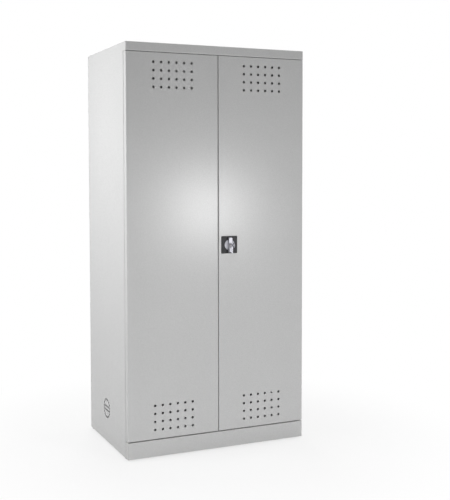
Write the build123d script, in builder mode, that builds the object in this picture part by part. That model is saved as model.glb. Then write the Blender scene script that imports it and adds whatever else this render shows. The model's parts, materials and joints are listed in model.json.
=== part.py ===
from build123d import *

import math
import os

# Two-door sheet-steel safety cabinet. Millimetres, Z up, front towards -Y.
# The origin lies on the floor under the middle of the overall box, from the key's bow to the rear panel.

# Overall size
width = 930.0
depth = 600.0  # door face to rear panel
height = 1950.0
floor_gap = 8.0  # clear height under the plinth, taken up by the levelling feet

# Sheet metal
sheet = 1.0
bend_radius = 3.0  # outer radius of every visible fold
overrun = 1.0  # how far a cut runs past the material
seat_gap = 0.3  # between neighbours that are set against each other
running_gap = 0.08  # radial, between a shaft and its bore
slide_gap = 0.2  # each side, between a bar and its guide

# Front zone: fascia, doors and plinth stand flush in front of the carcass
front_depth = 36.0
fascia_height = 42.0
plinth_height = 80.0
seam = 3.5  # between the doors
top_seam = 2.0  # above the doors
bottom_seam = 4.5  # below the doors
door_rear_gap = 7.0  # between a closed door and the carcass
flange_lip = 14.0  # stiffening lip on the inner edge of fascia and plinth

# Carcass
post_width = 35.0  # hollow posts folded from the side panels
post_return = 34.0
swage_spacing = 460.0  # stiffening swages of the rear panel
swage_width = 60.0
swage_depth = 8.0
wall_hole_spacing = 640.0
wall_hole_radius = 4.5
wall_hole_drop = 150.0  # below the top
floor_flange = 26.0
side_vent_set_back = 325.0  # behind the door face
side_vent_height = 175.0
side_vent_hole_radius = 6.0
side_vent_ring_radius = 45.0
side_vent_ring_holes = 18
side_vent_row_pitch = 18.0  # two rows run across the ring
side_vent_row_holes = 4

# Tray shelves and their rails
slot_pitch = 50.0
slot_width = 4.0
slot_height = 14.0
slot_first_height = 150.0
slot_top_clear = 100.0  # below the top
tray_height_shares = (0.25, 0.5, 0.75)  # of the slotted length
tray_side_gap = 1.5
tray_front_gap = 20.0  # behind the carcass front
tray_rear_gap = 14.0  # in front of the rear panel
tray_sheet = 1.2
tray_wall_height = 55.0
sump_wall_height = 70.0
tray_corner_radius = 6.0
hem_thickness = 3.0
hem_height = 8.0
rail_sheet = 1.5
rail_shelf = 20.0
rail_wall = 26.0
rail_end_gap = 4.0
hook_reach = 5.0
hook_drop = 5.0
hook_width = 2.4
hook_height = 8.0

# Levelling feet
foot_radius = 13.0
foot_pad_height = 6.0
foot_hex_radius = 9.5
foot_hex_height = 5.0
stud_radius = 5.0
stud_length = 44.0
stud_end_chamfer = 0.8
bracket_thickness = 3.0
bracket_height = 22.0  # above the floor
nut_radius = 9.5
nut_height = 8.0

# Door panels
door_lip = 28.0  # folded edge at the back of the pan
vent_columns = 6
vent_rows = 4
vent_pitch = 38.5
vent_radius = 6.0
vent_inset = 102.0  # grid centre from the door's top and bottom edge
stiffener_width = 90.0
stiffener_flange = 15.0
stiffener_depth = 20.0
stiffener_clear = 40.0  # from the vent grids

# Door pivots
pivot_side_inset = 8.0  # from the cabinet's side face
pivot_set_forward = 16.0  # from the carcass front
pin_radius = 4.0
pin_engagement = 11.0
pin_head_radius = 6.0
pin_head_height = 3.0
bush_wall = 2.0
bush_length = 13.0
bush_flange_radius = 6.8
bush_fit_gap = 0.1
buffer_radius = 4.0
buffer_side_inset = 22.0  # inside the path of the door's rear corner
buffer_height_shares = (0.08, 0.5, 0.92)  # of the door height

# Lock plate and turning grip on the right door
lock_from_seam = 55.25  # lock axis from the right door's free edge
lock_height = 1000.0
plate_size = 84.0
plate_thickness = 4.0
plate_corner_radius = 4.0
plate_edge_chamfer = 1.0
knob_radius = 26.0
knob_edge_height = 2.0
knob_dome_height = 5.0
grip_length = 72.0
grip_width = 20.0
grip_end_radius = 6.0
grip_height = 15.0  # grip face from the lock plate's face
grip_edge_radius = 2.5
boss_radius = 9.0
boss_rise = 1.5  # past the grip's face
hub_radius = 8.0
cylinder_radius = 6.0
cylinder_length = 13.0
cylinder_rise = 0.6
keyway_width = 2.6
keyway_height = 8.4
spindle_size = 8.0
spindle_socket_depth = 7.0

# Keys
key_thickness = 2.2
key_blade_width = 8.0
key_blade_length = 11.0
key_shank_radius = 2.5
key_shank_length = 22.0
key_bow_radius = 11.5
key_bow_hole_radius = 4.5
spare_set_forward = 15.0  # in front of the boss
spare_blade_length = 25.0
spare_tip_share = 0.5  # of the blade's width

# Lock case, rack drive and rods
gear_module = 2.0
gear_teeth = 12
pressure_angle = 25.0
addendum_share = 0.8  # of the module
dedendum_share = 1.0  # of the module
gear_backlash = 0.4
pinion_width = 8.0
pinion_collar_radius = 7.0
rod_width = 6.0
rod_thickness = 8.0
rod_rest_inset = 3.0  # rod tip inside the door's edge at rest
rod_tip_chamfer = 1.5
rack_teeth_ahead = 2
rack_teeth_behind = 5
rack_end = 3.0
case_flange_size = 76.0
case_flange_thickness = 2.0
case_wall = 2.0
case_half_height = 42.0
case_depth = 20.0  # from its flange to its cover
pinion_set_back = 3.0  # rods and pinion from the case flange
case_post_radius = 4.0
case_post_height = 32.0  # from the lock axis
cover_thickness = 2.0
case_screw_inset = 5.0
screw_radius = 2.0
screw_head_radius = 3.5
screw_head_height = 2.2
screw_bite = 2.5  # into the lock plate
cover_screw_bite = 8.0  # into the case posts
guide_wall = 4.0
guide_height = 12.0
door_rod_gap = 0.8  # each side, rod to the hole in the door's fold
strike_gap = 1.2  # each side, rod to its strike
strike_side_margin = 10.0
strike_depth_margin = 4.4
strike_thickness = 3.0

# Latch tongue
tongue_thickness = 3.0
tongue_lip_gap = 1.0  # behind the door's folded edge
tongue_width = 16.0
tongue_boss_radius = 9.0
tongue_engagement = 12.0  # past the left door's free edge
spindle_fit_gap = 0.1
spindle_screw_radius = 2.5
spindle_screw_length = 12.0
spindle_screw_head_radius = 6.5
spindle_screw_head_height = 3.0

# Places worked out from the sizes above
half_width = width / 2
key_bow_reach = key_shank_length + (key_bow_radius + key_bow_hole_radius) / 2
lock_overhang = plate_thickness + grip_height + boss_rise + cylinder_rise + key_bow_reach + key_bow_radius
front_y = (lock_overhang - depth) / 2
rear_y = front_y + depth
carcass_front_y = front_y + front_depth
wall_rear_y = rear_y - sheet
side_top_z = height - sheet
fascia_bottom_z = height - fascia_height
plinth_top_z = floor_gap + plinth_height
door_top_z = fascia_bottom_z - top_seam
door_bottom_z = plinth_top_z + bottom_seam
door_height = door_top_z - door_bottom_z
door_depth = front_depth - door_rear_gap
door_back_y = front_y + door_depth
door_inner_y = front_y + sheet
door_width = half_width - seam / 2
door_centre_x = half_width - door_width / 2
pivot_x = half_width - pivot_side_inset
pivot_y = carcass_front_y - pivot_set_forward
post_inner_x = half_width - post_width
post_seam_x = half_width - sheet - seat_gap  # where a post's last fold meets the side wall
front_zone_depth = front_depth - seat_gap
side_vent_first_angle = 180 / side_vent_ring_holes  # two holes of the ring end each row

lock_x = seam / 2 + lock_from_seam
plate_face_y = front_y - plate_thickness
grip_face_y = plate_face_y - grip_height
boss_face_y = grip_face_y - boss_rise
cylinder_face_y = boss_face_y - cylinder_rise
case_flange_back_y = door_inner_y + case_flange_thickness
case_back_y = case_flange_back_y + case_depth
cover_back_y = case_back_y + cover_thickness
pinion_front_y = case_flange_back_y + pinion_set_back
pinion_back_y = pinion_front_y + pinion_width
tongue_front_y = door_back_y + tongue_lip_gap
tongue_back_y = tongue_front_y + tongue_thickness
hub_back_y = case_flange_back_y
spindle_front_y = hub_back_y - spindle_socket_depth

addendum = addendum_share * gear_module
dedendum = dedendum_share * gear_module
pitch_radius = gear_module * gear_teeth / 2
tooth_pitch = math.pi * gear_module
rack_root_x = pitch_radius + dedendum
rod_offset_x = rack_root_x + rod_width / 2
rod_centre_y = (pinion_front_y + pinion_back_y) / 2
case_inner_x = rack_root_x + rod_width + slide_gap

os.makedirs("parts", exist_ok=True)


def save(piece, name):
    """Names a finished piece and writes it."""
    piece.part.label = name
    export_step(piece.part, f"parts/{name}.step")


def lock_plane(y):
    """A plane square to the lock axis at depth y, facing out of the door."""
    return Plane(origin=(lock_x, y, lock_height), x_dir=(1, 0, 0), z_dir=(0, -1, 0))


# Side panels, each folded to a closed hollow post at its front and rear edge
post_fold_places_y = (
    carcass_front_y + post_return - sheet / 2,
    wall_rear_y - post_return + sheet / 2,
)
slot_count = int((height - slot_top_clear - slot_first_height) / slot_pitch) + 1
slot_middle_z = slot_first_height + (slot_count - 1) * slot_pitch / 2
for side, side_name in ((-1, "left"), (1, "right")):
    with BuildPart() as side_panel:
        with BuildSketch(Plane.XY.offset(floor_gap)):
            with BuildLine():
                FilletPolyline(
                    (side * post_inner_x, carcass_front_y + post_return),
                    (side * post_inner_x, carcass_front_y),
                    (side * half_width, carcass_front_y),
                    (side * half_width, wall_rear_y),
                    (side * post_inner_x, wall_rear_y),
                    (side * post_inner_x, wall_rear_y - post_return),
                    radius=bend_radius,
                )
                offset(amount=sheet, side=Side.LEFT if side > 0 else Side.RIGHT)
            make_face()
            for fold_y in post_fold_places_y:
                with Locations((side * (post_inner_x + post_seam_x) / 2, fold_y)):
                    Rectangle(post_seam_x - post_inner_x, sheet)
        extrude(amount=side_top_z - floor_gap)
        with BuildSketch(Plane.YZ.offset(side * post_inner_x)):
            for slot_y in (carcass_front_y + post_return / 2, wall_rear_y - post_return / 2):
                with Locations((slot_y, slot_middle_z)):
                    with GridLocations(0, slot_pitch, 1, slot_count):
                        Rectangle(slot_width, slot_height)
        extrude(amount=sheet + overrun, both=True, mode=Mode.SUBTRACT)
        with BuildSketch(Plane.YZ.offset(side * half_width)):
            with Locations((front_y + side_vent_set_back, side_vent_height)):
                with PolarLocations(side_vent_ring_radius, side_vent_ring_holes, side_vent_first_angle):
                    Circle(side_vent_hole_radius)
                with GridLocations(side_vent_row_pitch, side_vent_row_pitch, side_vent_row_holes, 2):
                    Circle(side_vent_hole_radius)
        extrude(amount=sheet + overrun, both=True, mode=Mode.SUBTRACT)
    save(side_panel, f"{side_name}_side_panel")

# Rear panel with two swages that stiffen it, and two holes to fix it to a wall
rear_outline = [(-half_width, rear_y)]
for swage_x in (-swage_spacing / 2, swage_spacing / 2):
    rear_outline += [
        (swage_x - swage_width / 2, rear_y),
        (swage_x - swage_width / 2 + swage_depth, rear_y - swage_depth),
        (swage_x + swage_width / 2 - swage_depth, rear_y - swage_depth),
        (swage_x + swage_width / 2, rear_y),
    ]
rear_outline.append((half_width, rear_y))
with BuildPart() as rear_panel:
    with BuildSketch(Plane.XY.offset(floor_gap)):
        with BuildLine():
            Polyline(*rear_outline)
            offset(amount=sheet, side=Side.RIGHT)
        make_face()
    extrude(amount=side_top_z - floor_gap)
    with BuildSketch(Plane.XZ.offset(-rear_y)):
        with Locations((0, height - wall_hole_drop)):
            with GridLocations(wall_hole_spacing, 0, 2, 1):
                Circle(wall_hole_radius)
    extrude(amount=sheet + overrun, both=True, mode=Mode.SUBTRACT)
save(rear_panel, "rear_panel")

# Places that the front fascia and the plinth share with what goes through them
pin_places = [(-pivot_x, pivot_y), (pivot_x, pivot_y)]
upper_rod_place = (lock_x - rod_offset_x, rod_centre_y)
lower_rod_place = (lock_x + rod_offset_x, rod_centre_y)


def front_box(box_bottom_z, box_height, flange_z, rod_place):
    """A hollow front member, open at its rear, with holes for the pivot pins and one rod."""
    with BuildPart() as member:
        with BuildSketch(Plane.XY.offset(box_bottom_z)):
            with Locations((0, front_y + front_zone_depth / 2)):
                Rectangle(width, front_zone_depth)
        extrude(amount=box_height)
        fillet(member.faces().sort_by(Axis.Y)[0].edges(), bend_radius)
        with BuildSketch(Plane.XY.offset(box_bottom_z + sheet)):
            with Locations((0, front_y + sheet + front_zone_depth / 2)):
                Rectangle(width - 2 * sheet, front_zone_depth)
        extrude(amount=box_height - 2 * sheet, mode=Mode.SUBTRACT)
        with BuildSketch(Plane.XY.offset(flange_z)):
            with Locations(*pin_places):
                Circle(pin_radius + running_gap)
            with Locations(rod_place):
                Rectangle(rod_width + 2 * strike_gap, rod_thickness + 2 * strike_gap)
        extrude(amount=sheet + overrun, both=True, mode=Mode.SUBTRACT)
    return member


# Top panel: the front fascia with the roof sheet behind it
fascia = front_box(fascia_bottom_z, fascia_height, fascia_bottom_z, upper_rod_place)
with BuildPart() as top_panel:
    add(fascia.part)
    with BuildSketch(Plane.XY.offset(side_top_z)):
        with Locations((0, front_y + front_zone_depth / 2 + depth / 2)):
            Rectangle(width, depth - front_zone_depth)
    extrude(amount=sheet)
    with BuildSketch(Plane.XY.offset(fascia_bottom_z)):
        with Locations((0, front_y + front_zone_depth - sheet / 2)):
            Rectangle(width - 2 * sheet, sheet)
    extrude(amount=flange_lip)
save(top_panel, "top_panel")

# Plinth with a cut-away underside, side returns as deep as the doors and a stiffening lip under its top
plinth_box = front_box(floor_gap, plinth_height, plinth_top_z, lower_rod_place)
with BuildPart() as plinth:
    add(plinth_box.part)
    with BuildSketch(Plane.XY.offset(floor_gap)):
        with Locations((0, front_y + flange_lip + front_zone_depth / 2)):
            Rectangle(width - 2 * sheet, front_zone_depth)
    extrude(amount=sheet + overrun, both=True, mode=Mode.SUBTRACT)
    with BuildSketch(Plane.XY.offset(floor_gap)):
        with Locations((0, door_back_y + door_rear_gap / 2)):
            with GridLocations(width, 0, 2, 1):
                Rectangle(2 * sheet, door_rear_gap)
    extrude(amount=plinth_height, mode=Mode.SUBTRACT)
    with BuildSketch(Plane.XY.offset(plinth_top_z)):
        with Locations((0, front_y + front_zone_depth - sheet / 2)):
            Rectangle(width - 2 * sheet, sheet)
    extrude(amount=-flange_lip)
save(plinth, "plinth")

# Floor panel, notched round the posts, with a flange at its front and rear
floor_half_width = half_width - sheet - seat_gap
floor_rear_y = rear_y - swage_depth - sheet - seat_gap
floor_depth = floor_rear_y - carcass_front_y
floor_centre_y = (floor_rear_y + carcass_front_y) / 2
floor_inner_width = 2 * (post_inner_x - seat_gap)
with BuildPart() as floor_panel:
    with BuildSketch(Plane.XY.offset(plinth_top_z - sheet)):
        with Locations((0, floor_centre_y)):
            Rectangle(floor_inner_width, floor_depth)
            Rectangle(2 * floor_half_width, floor_depth - 2 * (post_return + seat_gap))
    extrude(amount=sheet)
    for flange_y in (carcass_front_y + sheet / 2, floor_rear_y - sheet / 2):
        with BuildSketch(Plane.XY.offset(plinth_top_z)):
            with Locations((0, flange_y)):
                Rectangle(floor_inner_width, sheet)
        extrude(amount=-floor_flange)
save(floor_panel, "floor_panel")

# Levelling feet under the posts, each in a nut bracket fixed inside its post
foot_x = half_width - post_width / 2
foot_front_y = carcass_front_y + post_return / 2
foot_rear_y = wall_rear_y - post_return / 2
bracket_width = post_width - 2 * (sheet + seat_gap)
bracket_depth = post_return - 2 * (sheet + seat_gap)
foot_places = {
    "front_left": (-foot_x, foot_front_y),
    "front_right": (foot_x, foot_front_y),
    "rear_left": (-foot_x, foot_rear_y),
    "rear_right": (foot_x, foot_rear_y),
}
with BuildPart() as foot_brackets:
    with BuildSketch(Plane.XY.offset(bracket_height)):
        with Locations(*foot_places.values()):
            RectangleRounded(bracket_width, bracket_depth, bend_radius)
    extrude(amount=bracket_thickness)
    with BuildSketch(Plane.XY.offset(bracket_height + bracket_thickness)):
        with Locations(*foot_places.values()):
            RegularPolygon(nut_radius, 6)
    extrude(amount=nut_height)
    with BuildSketch(Plane.XY.offset(bracket_height)):
        with Locations(*foot_places.values()):
            Circle(stud_radius + running_gap)
    extrude(amount=bracket_thickness + nut_height, mode=Mode.SUBTRACT)
save(foot_brackets, "foot_brackets")

for foot_name, foot_place in foot_places.items():
    with BuildPart() as foot:
        with BuildSketch():
            with Locations(foot_place):
                Circle(foot_radius)
        extrude(amount=foot_pad_height)
        fillet(foot.faces().sort_by(Axis.Z)[-1].edges(), bend_radius)
        with BuildSketch(Plane.XY.offset(foot_pad_height)):
            with Locations(foot_place):
                RegularPolygon(foot_hex_radius, 6)
        extrude(amount=foot_hex_height)
        with BuildSketch(Plane.XY.offset(foot_pad_height)):
            with Locations(foot_place):
                Circle(stud_radius)
        extrude(amount=stud_length)
        chamfer(foot.faces().sort_by(Axis.Z)[-1].edges(), stud_end_chamfer)
    save(foot, f"foot_{foot_name}")

# Tray shelves with hemmed walls, and the deeper sump tray on the floor
tray_half_width = post_inner_x - rail_sheet - tray_side_gap
tray_front_y = carcass_front_y + tray_front_gap
tray_depth = rear_y - swage_depth - tray_rear_gap - tray_front_y
tray_centre_y = tray_front_y + tray_depth / 2
tray_slot_numbers = [round(share * (slot_count - 1)) for share in tray_height_shares]
shelf_heights = [
    slot_first_height + number * slot_pitch - slot_height / 2 - hook_drop for number in tray_slot_numbers
]


def tray(bottom_z, wall_height):
    """An open pan with rounded corners and a thick hem along its rim."""
    with BuildPart() as pan:
        with BuildSketch(Plane.XY.offset(bottom_z)):
            with Locations((0, tray_centre_y)):
                RectangleRounded(2 * tray_half_width, tray_depth, tray_corner_radius)
        extrude(amount=wall_height)
        with BuildSketch(Plane.XY.offset(bottom_z + tray_sheet)):
            with Locations((0, tray_centre_y)):
                RectangleRounded(
                    2 * (tray_half_width - tray_sheet),
                    tray_depth - 2 * tray_sheet,
                    tray_corner_radius - tray_sheet,
                )
        extrude(amount=wall_height - tray_sheet - hem_height, mode=Mode.SUBTRACT)
        with BuildSketch(Plane.XY.offset(bottom_z + wall_height)):
            with Locations((0, tray_centre_y)):
                RectangleRounded(
                    2 * (tray_half_width - hem_thickness),
                    tray_depth - 2 * hem_thickness,
                    tray_corner_radius - hem_thickness,
                )
        extrude(amount=-hem_height, mode=Mode.SUBTRACT)
    return pan


save(tray(plinth_top_z, sump_wall_height), "sump_tray")
for shelf_name, shelf_z in zip(("lower", "middle", "upper"), shelf_heights):
    save(tray(shelf_z, tray_wall_height), f"{shelf_name}_tray")

# Tray rails: angles whose hooks hang in the slots of the posts
rail_front_y = carcass_front_y + rail_end_gap
rail_rear_y = wall_rear_y - rail_end_gap
hook_places_y = (carcass_front_y + post_return / 2, wall_rear_y - post_return / 2)
hook_hidden_x = post_inner_x + sheet + slide_gap
hook_end_x = post_inner_x + hook_reach
with BuildPart() as tray_rails:
    for shelf_z in shelf_heights:
        slot_bottom_z = shelf_z + hook_drop
        for side in (-1, 1):
            shelf_x = side * (post_inner_x - rail_shelf / 2)
            wall_x = side * (post_inner_x - rail_sheet / 2)
            hook_x = side * (post_inner_x + hook_reach / 2)
            barb_x = side * (hook_hidden_x + hook_end_x) / 2
            with BuildSketch(Plane.XZ.offset(-rail_front_y)):
                with Locations((shelf_x, shelf_z - rail_sheet / 2)):
                    Rectangle(rail_shelf, rail_sheet)
                with Locations((wall_x, shelf_z + (rail_wall - rail_sheet) / 2)):
                    Rectangle(rail_sheet, rail_wall + rail_sheet)
            extrude(amount=rail_front_y - rail_rear_y)
            for hook_y in hook_places_y:
                with BuildSketch(Plane.XZ.offset(-hook_y)):
                    with Locations((hook_x, slot_bottom_z + hook_height / 2)):
                        Rectangle(hook_reach, hook_height)
                    with Locations((barb_x, slot_bottom_z)):
                        Rectangle(hook_end_x - hook_hidden_x, hook_drop)
                extrude(amount=hook_width / 2, both=True)
save(tray_rails, "tray_rails")

# Pivot pins, riveted into the fascia above and the plinth below the doors
with BuildPart() as pivot_pins:
    for seat_z, towards_door, door_seam in (
        (fascia_bottom_z + sheet, -1, top_seam),
        (plinth_top_z - sheet, 1, bottom_seam),
    ):
        with BuildSketch(Plane.XY.offset(seat_z)):
            with Locations(*pin_places):
                Circle(pin_head_radius)
        extrude(amount=-towards_door * pin_head_height)
        with BuildSketch(Plane.XY.offset(seat_z)):
            with Locations(*pin_places):
                Circle(pin_radius)
        extrude(amount=towards_door * (sheet + door_seam + pin_engagement))
save(pivot_pins, "pivot_pins")

# Strike plates that take the tips of the rods
for strike_name, strike_z, strike_rise, rod_place in (
    ("upper", fascia_bottom_z + sheet, strike_thickness, upper_rod_place),
    ("lower", plinth_top_z - sheet, -strike_thickness, lower_rod_place),
):
    with BuildPart() as strike:
        with BuildSketch(Plane.XY.offset(strike_z)):
            with Locations(rod_place):
                Rectangle(rod_width + 2 * strike_side_margin, rod_thickness + 2 * strike_depth_margin)
                Rectangle(
                    rod_width + 2 * strike_gap, rod_thickness + 2 * strike_gap, mode=Mode.SUBTRACT
                )
        extrude(amount=strike_rise)
    save(strike, f"{strike_name}_strike")

# Rubber buffers on the posts, behind the doors' folded edges
buffer_x = half_width - buffer_side_inset
with BuildPart() as door_buffers:
    with BuildSketch(Plane.XZ.offset(-carcass_front_y)):
        for share in buffer_height_shares:
            with Locations((0, door_bottom_z + share * door_height)):
                with GridLocations(2 * buffer_x, 0, 2, 1):
                    Circle(buffer_radius)
    extrude(amount=door_rear_gap - seat_gap)
save(door_buffers, "door_buffers")

# Doors: folded pans with two vent grids, a stiffener and two pivot bushes each
bush_radius = pin_radius + running_gap + bush_wall
vent_heights = (door_bottom_z + vent_inset, door_top_z - vent_inset)
vent_half_height = (vent_rows - 1) * vent_pitch / 2 + vent_radius
stiffener_bottom_z = vent_heights[0] + vent_half_height + stiffener_clear
stiffener_top_z = vent_heights[1] - vent_half_height - stiffener_clear
case_screw_spacing_x = case_flange_size - 2 * case_screw_inset
case_screw_spacing_z = plate_size - 2 * case_screw_inset - 2 * screw_head_radius


def door_panel(side):
    """One door's folded pan, with its vents and the holes for its bushes."""
    centre = (side * door_centre_x, front_y + door_depth / 2)
    with BuildPart() as pan:
        with BuildSketch(Plane.XY.offset(door_bottom_z)):
            with Locations(centre):
                Rectangle(door_width, door_depth)
        extrude(amount=door_height)
        fillet(pan.faces().sort_by(Axis.Y)[0].edges(), bend_radius)
        with BuildSketch(Plane.XY.offset(door_bottom_z + sheet)):
            with Locations(centre):
                Rectangle(door_width - 2 * sheet, door_depth - 2 * sheet)
        extrude(amount=door_height - 2 * sheet, mode=Mode.SUBTRACT)
        with BuildSketch(Plane.XZ.offset(-door_back_y)):
            with Locations((side * door_centre_x, door_bottom_z + door_height / 2)):
                Rectangle(door_width - 2 * door_lip, door_height - 2 * door_lip)
        extrude(amount=sheet + overrun, both=True, mode=Mode.SUBTRACT)
        with BuildSketch(Plane.XZ.offset(-front_y)):
            for vent_z in vent_heights:
                with Locations((side * door_centre_x, vent_z)):
                    with GridLocations(vent_pitch, vent_pitch, vent_columns, vent_rows):
                        Circle(vent_radius)
        extrude(amount=sheet + overrun, both=True, mode=Mode.SUBTRACT)
        for fold_z in (door_bottom_z, door_top_z):
            with BuildSketch(Plane.XY.offset(fold_z)):
                with Locations((side * pivot_x, pivot_y)):
                    Circle(bush_radius + bush_fit_gap)
            extrude(amount=sheet + overrun, both=True, mode=Mode.SUBTRACT)
    return pan


save(door_panel(-1), "left_door_panel")

with BuildPart() as right_door_panel:
    add(door_panel(1).part)
    with BuildSketch(lock_plane(front_y)):
        Circle(hub_radius + seat_gap)
        with GridLocations(case_screw_spacing_x, case_screw_spacing_z, 2, 2):
            Circle(screw_radius + running_gap)
    extrude(amount=sheet + overrun, both=True, mode=Mode.SUBTRACT)
    for fold_z, rod_place in ((door_top_z, upper_rod_place), (door_bottom_z, lower_rod_place)):
        with BuildSketch(Plane.XY.offset(fold_z)):
            with Locations(rod_place):
                Rectangle(rod_width + 2 * door_rod_gap, rod_thickness + 2 * door_rod_gap)
        extrude(amount=sheet + overrun, both=True, mode=Mode.SUBTRACT)
save(right_door_panel, "right_door_panel")

for side, side_name in ((-1, "left"), (1, "right")):
    hat_half = stiffener_width / 2
    hat_crown_half = hat_half - stiffener_flange
    hat_top_y = door_inner_y + stiffener_depth - sheet
    with BuildPart() as stiffener:
        with BuildSketch(Plane(origin=(side * door_centre_x, 0, stiffener_bottom_z))):
            with BuildLine():
                Polyline(
                    (-hat_half, door_inner_y),
                    (-hat_crown_half, door_inner_y),
                    (-hat_crown_half, hat_top_y),
                    (hat_crown_half, hat_top_y),
                    (hat_crown_half, door_inner_y),
                    (hat_half, door_inner_y),
                )
                offset(amount=sheet, side=Side.LEFT)
            make_face()
        extrude(amount=stiffener_top_z - stiffener_bottom_z)
    save(stiffener, f"{side_name}_door_stiffener")

    with BuildPart() as door_bushes:
        for edge_z, outwards, door_seam in ((door_top_z, 1, top_seam), (door_bottom_z, -1, bottom_seam)):
            with BuildSketch(Plane.XY.offset(edge_z)):
                with Locations((side * pivot_x, pivot_y)):
                    Circle(bush_flange_radius)
                    Circle(pin_radius + running_gap, mode=Mode.SUBTRACT)
            extrude(amount=outwards * (door_seam - seat_gap))
            with BuildSketch(Plane.XY.offset(edge_z)):
                with Locations((side * pivot_x, pivot_y)):
                    Circle(bush_radius)
                    Circle(pin_radius + running_gap, mode=Mode.SUBTRACT)
            extrude(amount=-outwards * bush_length)
    save(door_bushes, f"{side_name}_door_bushes")

# Lock plate on the face of the right door
with BuildPart() as lock_plate:
    with BuildSketch(lock_plane(front_y)):
        RectangleRounded(plate_size, plate_size, plate_corner_radius)
    extrude(amount=plate_thickness)
    chamfer(lock_plate.faces().sort_by(Axis.Y)[0].edges(), plate_edge_chamfer)
    with BuildSketch(lock_plane(front_y)):
        Circle(hub_radius + running_gap)
    extrude(amount=plate_thickness, mode=Mode.SUBTRACT)
    with BuildSketch(lock_plane(front_y)):
        with GridLocations(case_screw_spacing_x, case_screw_spacing_z, 2, 2):
            Circle(screw_radius + running_gap)
    extrude(amount=screw_bite + seat_gap, mode=Mode.SUBTRACT)
save(lock_plate, "lock_plate")

# Lock case behind the door sheet, with two posts that hold its cover
case_half_width = case_inner_x + case_wall
with BuildPart() as lock_case:
    with BuildSketch(lock_plane(case_flange_back_y)):
        Rectangle(case_flange_size, 2 * case_half_height)
    extrude(amount=case_flange_thickness)
    with BuildSketch(lock_plane(case_back_y)):
        Rectangle(2 * case_half_width, 2 * case_half_height)
        Rectangle(2 * case_inner_x, 2 * (case_half_height - case_wall), mode=Mode.SUBTRACT)
        with GridLocations(0, 2 * case_post_height, 1, 2):
            Circle(case_post_radius)
            Circle(screw_radius + running_gap, mode=Mode.SUBTRACT)
    extrude(amount=case_depth)
    for wall_z, rod_place in (
        (lock_height + case_half_height, upper_rod_place),
        (lock_height - case_half_height, lower_rod_place),
    ):
        with BuildSketch(Plane.XY.offset(wall_z)):
            with Locations(rod_place):
                Rectangle(rod_width + 2 * slide_gap, rod_thickness + 2 * slide_gap)
        extrude(amount=case_wall + overrun, both=True, mode=Mode.SUBTRACT)
    with BuildSketch(lock_plane(case_flange_back_y)):
        Circle(hub_radius + running_gap)
        with GridLocations(case_screw_spacing_x, case_screw_spacing_z, 2, 2):
            Circle(screw_radius + running_gap)
    extrude(amount=case_flange_thickness, mode=Mode.SUBTRACT)
save(lock_case, "lock_case")

with BuildPart() as lock_cover:
    with BuildSketch(lock_plane(cover_back_y)):
        Rectangle(2 * case_half_width, 2 * case_half_height)
        Circle(pinion_collar_radius + running_gap, mode=Mode.SUBTRACT)
        with GridLocations(0, 2 * case_post_height, 1, 2):
            Circle(screw_radius + running_gap, mode=Mode.SUBTRACT)
    extrude(amount=cover_thickness)
save(lock_cover, "lock_cover")

with BuildPart() as lock_screws:
    with BuildSketch(lock_plane(case_flange_back_y)):
        with GridLocations(case_screw_spacing_x, case_screw_spacing_z, 2, 2):
            Circle(screw_head_radius)
    extrude(amount=-screw_head_height)
    with BuildSketch(lock_plane(case_flange_back_y)):
        with GridLocations(case_screw_spacing_x, case_screw_spacing_z, 2, 2):
            Circle(screw_radius)
    extrude(amount=case_flange_thickness + sheet + screw_bite)
save(lock_screws, "lock_screws")

with BuildPart() as cover_screws:
    with BuildSketch(lock_plane(cover_back_y)):
        with GridLocations(0, 2 * case_post_height, 1, 2):
            Circle(screw_head_radius)
    extrude(amount=-screw_head_height)
    with BuildSketch(lock_plane(cover_back_y)):
        with GridLocations(0, 2 * case_post_height, 1, 2):
            Circle(screw_radius)
    extrude(amount=cover_thickness + cover_screw_bite)
save(cover_screws, "cover_screws")

# Guides that hold the rods to the door, at mid length and at the door's edges
guide_width = rod_width + 2 * (slide_gap + guide_wall)
guide_back_y = rod_centre_y + rod_thickness / 2 + slide_gap + guide_wall
rod_runs = (
    (upper_rod_place[0], (lock_height + door_top_z) / 2, door_top_z - sheet - guide_height),
    (lower_rod_place[0], (lock_height + door_bottom_z) / 2, door_bottom_z + sheet),
)
with BuildPart() as rod_guides:
    for rod_x, *guide_bottoms in rod_runs:
        for guide_bottom_z in guide_bottoms:
            with BuildSketch(Plane.XY.offset(guide_bottom_z)):
                with Locations((rod_x, (door_inner_y + guide_back_y) / 2)):
                    Rectangle(guide_width, guide_back_y - door_inner_y)
                with Locations((rod_x, rod_centre_y)):
                    Rectangle(
                        rod_width + 2 * slide_gap, rod_thickness + 2 * slide_gap, mode=Mode.SUBTRACT
                    )
            extrude(amount=guide_height)
save(rod_guides, "rod_guides")

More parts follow.
